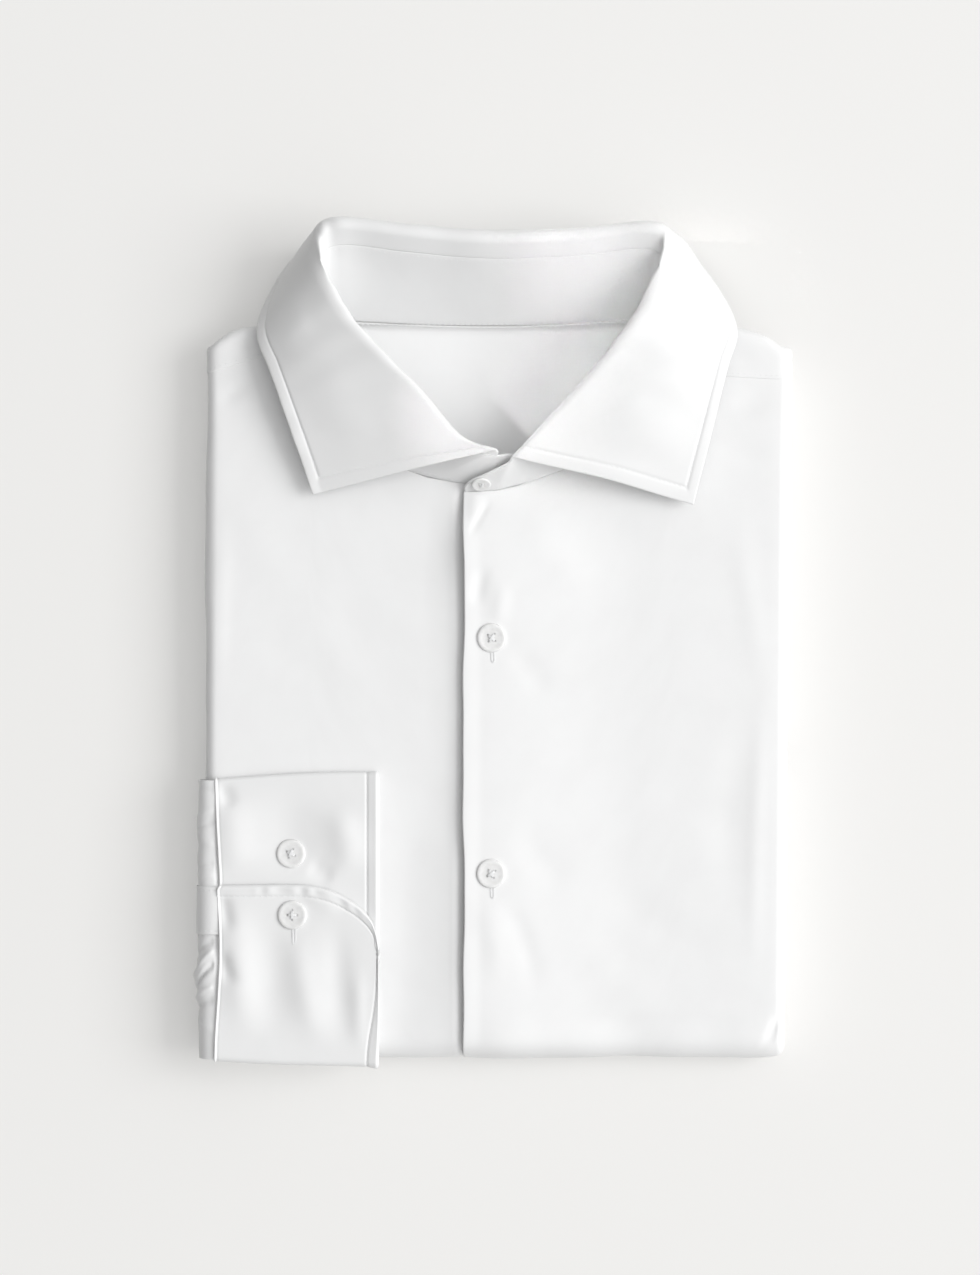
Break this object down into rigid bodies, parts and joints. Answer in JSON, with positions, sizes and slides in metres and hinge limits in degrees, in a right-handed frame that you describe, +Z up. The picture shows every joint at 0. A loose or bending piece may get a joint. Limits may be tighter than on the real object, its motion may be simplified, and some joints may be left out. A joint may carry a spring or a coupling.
{
  "type": "folded dress shirt",
  "caption": "Long-sleeved dress shirt, buttoned and folded flat, with its spread collar standing up and one cuff brought round to the front.",
  "frame": {"origin": "centre of the folded shirt's bounding box in plan, on the surface that it rests on", "axes": "+Y from the hem end to the collar end, +X to the right seen from above with the collar away from the viewer, +Z up from the surface"},
  "size_m": [0.2494, 0.3522, 0.0426],
  "materials": {
    "body_cloth": "fine white shirting with a slight sheen",
    "collar_cloth": "fine white shirting over a firm interlining, smooth",
    "button": "pearly white, polished"
  },
  "bodies": {
    "root": {"front_left": "body_cloth", "front_right": "body_cloth", "yoke": "body_cloth", "back_layers": "body_cloth", "collar_stand": "collar_cloth", "collar_leaf": "collar_cloth", "cuff_right": "collar_cloth", "sleeve_right": "body_cloth", "sleeve_placket": "body_cloth", "sleeve_left": "body_cloth", "button_front_1": "button", "button_front_2": "button", "button_cuff_1": "button", "button_cuff_2": "button", "button_collar": "button"}
  },
  "joints": []
}
